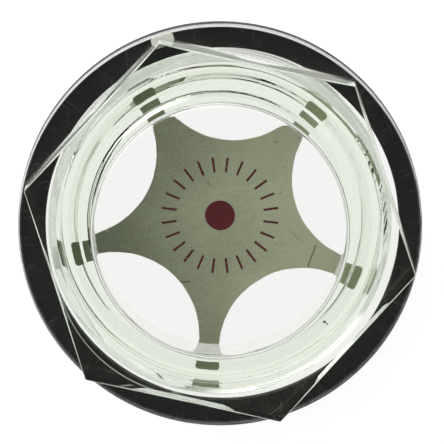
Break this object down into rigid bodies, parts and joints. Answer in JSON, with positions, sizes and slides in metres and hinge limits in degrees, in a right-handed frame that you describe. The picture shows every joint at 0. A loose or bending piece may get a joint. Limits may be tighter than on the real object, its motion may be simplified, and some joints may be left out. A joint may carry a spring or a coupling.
{
  "type": "tank level gauge",
  "caption": "Screw-in oil level gauge: clear hexagon-head window body, pipe thread, rubber packing ring and star-shaped contrast screen.",
  "frame": {"origin": "on the axis, in the sealing plane under the packing ring, where the thread starts", "axes": "+Z along the axis, out through the window; two flats of the hexagon head face +X and -X"},
  "size_m": [0.0494, 0.0494, 0.0215],
  "materials": {
    "clear_plastic": "polished, clear with a faint green tint",
    "black_rubber": "smooth, slightly satin",
    "screen_metal": "satin, fine rolled grain",
    "red_ink": "flat printed ink",
    "maroon_ink": "flat printed ink"
  },
  "bodies": {
    "root": {"clear_body": "clear_plastic", "packing_ring": "black_rubber", "contrast_screen": "screen_metal", "sight_dot": "red_ink", "scale_marks": "maroon_ink"}
  },
  "joints": []
}
